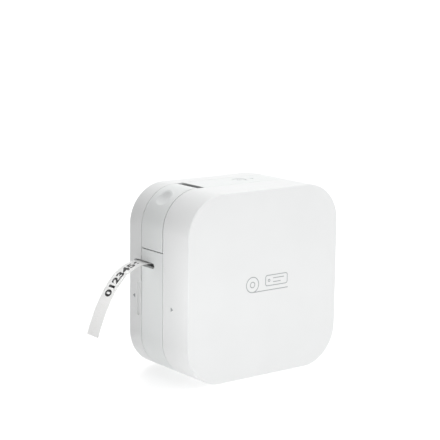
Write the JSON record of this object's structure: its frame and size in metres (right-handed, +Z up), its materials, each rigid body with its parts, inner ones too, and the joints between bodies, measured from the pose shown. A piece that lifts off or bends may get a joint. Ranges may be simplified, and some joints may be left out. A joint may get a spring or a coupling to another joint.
{
  "type": "label maker",
  "caption": "Compact upright tape label printer: rounded square box of three white shells with a corner cutter lever and a printed label curling out of its side slot.",
  "frame": {"origin": "on the underside of the centre band, at the middle of the body's width and depth", "axes": "+X to the right seen from the front, +Y to the rear, +Z up; the front cover faces -Y and the label leaves on -X"},
  "size_m": [0.1521, 0.061, 0.115],
  "materials": {
    "white_abs": "fine satin texture",
    "grey_pom": "moulded",
    "black_nylon": "moulded",
    "natural_pom": "moulded, slightly waxy",
    "smoke_styrene": "gloss",
    "label_film": "satin laminated film",
    "ink_ribbon": "gloss film",
    "silicone_rubber": "ground",
    "head_ceramic": "glazed",
    "light_pipe": "milky",
    "circuit_board": "solder mask",
    "polyimide_film": "smooth film",
    "battery_sleeve": "shrink sleeve",
    "steel": "brushed",
    "aluminium": "milled",
    "brass": "turned",
    "nickel_plate": "plated"
  },
  "bodies": {
    "chassis_body": {"chassis": "white_abs", "front_frame": "white_abs", "lever_pin": "steel", "cutter_spring": "steel", "cutter_anvil": "steel", "print_head": "head_ceramic", "heat_sink": "aluminium", "head_cable": "polyimide_film", "roller_arm_pin": "steel", "roller_arm_spring": "steel", "gear_plate": "steel", "motor": "steel", "main_board": "circuit_board", "radio_module": "steel", "switch_board": "circuit_board", "status_light": "light_pipe", "power_jack": "black_nylon", "contact_left_pair": "nickel_plate", "contact_left_single": "nickel_plate", "contact_middle_1": "nickel_plate", "contact_middle_2": "nickel_plate", "contact_middle_3": "nickel_plate", "contact_right_pair": "nickel_plate", "contact_right_single": "nickel_plate", "case_screw_1": "steel", "case_screw_2": "steel", "case_screw_3": "steel", "case_screw_4": "steel"},
    "front_cover_body": {"front_cover": "white_abs"},
    "rear_cover_body": {"rear_cover": "white_abs"},
    "batteries_body": {"battery_1": "battery_sleeve", "battery_2": "battery_sleeve", "battery_3": "battery_sleeve", "battery_4": "battery_sleeve", "battery_5": "battery_sleeve", "battery_6": "battery_sleeve"},
    "cassette_body": {"cassette_case": "smoke_styrene", "cassette_lid": "smoke_styrene", "label_strip": "label_film"},
    "tape_roll_body": {"tape_roll": "label_film"},
    "ribbon_supply_body": {"ribbon_supply_spool": "ink_ribbon"},
    "ribbon_takeup_body": {"ribbon_takeup_spool": "ink_ribbon"},
    "feed_roller_body": {"feed_roller": "silicone_rubber"},
    "lever_body": {"cutter_lever": "white_abs"},
    "blade_body": {"cutter_carriage": "grey_pom", "cutter_blade": "steel"},
    "button_body": {"power_button": "white_abs"},
    "arm_body": {"roller_arm": "grey_pom", "platen_shaft": "steel"},
    "platen_body": {"platen_roller": "silicone_rubber"},
    "pinch_body": {"pinch_roller": "silicone_rubber"},
    "feed_drive_body": {"feed_gear": "natural_pom", "feed_shaft": "steel"},
    "takeup_drive_body": {"takeup_gear": "natural_pom", "takeup_shaft": "steel"},
    "idler_body": {"idler_gear": "natural_pom"},
    "reduction_body": {"reduction_gear": "natural_pom"},
    "pinion_body": {"motor_pinion": "brass"}
  },
  "joints": [
    {"name": "front_cover_pull", "type": "slide", "parent": "chassis_body", "child": "front_cover_body", "axis": [0, -1, 0], "range_m": [0, 0.05]},
    {"name": "battery_lift", "type": "slide", "parent": "chassis_body", "child": "batteries_body", "axis": [0, -1, 0], "range_m": [0, 0.015]},
    {"name": "rear_cover_pull", "type": "slide", "parent": "chassis_body", "child": "rear_cover_body", "axis": [0, 1, 0], "range_m": [0, 0.06]},
    {"name": "cassette_lift", "type": "slide", "parent": "chassis_body", "child": "cassette_body", "axis": [0, 1, 0], "range_m": [0, 0.027]},
    {"name": "cutter_press", "type": "hinge", "parent": "chassis_body", "child": "lever_body", "pos_m": [-0.054, 0.0065, 0.0795], "axis": [0, 1, 0], "range_deg": [0, 6.5], "stiffness_Nm_per_rad": 1.2, "springref_deg": -5.73},
    {"name": "blade_drop", "type": "slide", "parent": "chassis_body", "child": "blade_body", "axis": [0, 0, -1], "range_m": [0, 0.00222], "stiffness_N_per_m": 1, "springref_m": -0.0216, "deforming": ["cutter_spring"]},
    {"name": "power_press", "type": "slide", "parent": "chassis_body", "child": "button_body", "axis": [0, 0, -1], "range_m": [0, 0.0007], "stiffness_N_per_m": 1500, "springref_m": -0.0005},
    {"name": "roller_release", "type": "hinge", "parent": "chassis_body", "child": "arm_body", "pos_m": [0.016, 0.0145, 0.084], "axis": [0, 1, 0], "range_deg": [0, 4.5], "stiffness_Nm_per_rad": 1, "springref_deg": -8.59, "deforming": ["roller_arm_spring"]},
    {"name": "feed_drive", "type": "hinge", "parent": "chassis_body", "child": "feed_drive_body", "pos_m": [-0.034, 0.0145, 0.0636], "axis": [0, 1, 0], "continuous": true},
    {"name": "takeup_drive", "type": "hinge", "parent": "chassis_body", "child": "takeup_drive_body", "pos_m": [-0.03149, 0.0145, 0.03973], "axis": [0, 1, 0], "continuous": true},
    {"name": "idler_spin", "type": "hinge", "parent": "chassis_body", "child": "idler_body", "pos_m": [-0.00919, -0.001, 0.07263], "axis": [0, 1, 0], "continuous": true},
    {"name": "reduction_spin", "type": "hinge", "parent": "chassis_body", "child": "reduction_body", "pos_m": [0.00935, -0.001, 0.0776], "axis": [0, 1, 0], "continuous": true},
    {"name": "pinion_spin", "type": "hinge", "parent": "chassis_body", "child": "pinion_body", "pos_m": [0.02935, -0.0046, 0.0776], "axis": [0, 1, 0], "continuous": true},
    {"name": "feed_roller_spin", "type": "hinge", "parent": "cassette_body", "child": "feed_roller_body", "pos_m": [-0.034, 0.0145, 0.0636], "axis": [0, 1, 0], "continuous": true},
    {"name": "ribbon_takeup_spin", "type": "hinge", "parent": "cassette_body", "child": "ribbon_takeup_body", "pos_m": [-0.03149, 0.0145, 0.03973], "axis": [0, 1, 0], "continuous": true},
    {"name": "ribbon_supply_spin", "type": "hinge", "parent": "cassette_body", "child": "ribbon_supply_body", "pos_m": [-0.01449, 0.0145, 0.04673], "axis": [0, 1, 0], "continuous": true},
    {"name": "tape_roll_spin", "type": "hinge", "parent": "cassette_body", "child": "tape_roll_body", "pos_m": [0.0183, 0.0145, 0.0337], "axis": [0, 1, 0], "continuous": true},
    {"name": "platen_spin", "type": "hinge", "parent": "arm_body", "child": "platen_body", "pos_m": [-0.008, 0.0145, 0.07485], "axis": [0, 1, 0], "continuous": true},
    {"name": "pinch_spin", "type": "hinge", "parent": "arm_body", "child": "pinch_body", "pos_m": [-0.034, 0.0145, 0.07435], "axis": [0, 1, 0], "continuous": true}
  ],
  "couplings": [
    {"joint": "battery_lift", "follows": "front_cover_pull", "ratio": 0.3},
    {"joint": "cassette_lift", "follows": "rear_cover_pull", "ratio": 0.45},
    {"joint": "blade_drop", "follows": "cutter_press", "m_per_rad": 0.0195},
    {"joint": "takeup_drive", "follows": "feed_drive", "ratio": -1},
    {"joint": "idler_spin", "follows": "feed_drive", "ratio": -0.83333},
    {"joint": "reduction_spin", "follows": "feed_drive", "ratio": 2.5},
    {"joint": "pinion_spin", "follows": "feed_drive", "ratio": -10},
    {"joint": "feed_roller_spin", "follows": "feed_drive", "ratio": 1},
    {"joint": "ribbon_takeup_spin", "follows": "feed_drive", "ratio": -1},
    {"joint": "ribbon_supply_spin", "follows": "feed_drive", "ratio": 0.76429},
    {"joint": "tape_roll_spin", "follows": "feed_drive", "ratio": 0.27436},
    {"joint": "platen_spin", "follows": "feed_drive", "ratio": -1.07},
    {"joint": "pinch_spin", "follows": "feed_drive", "ratio": -1.1889}
  ]
}
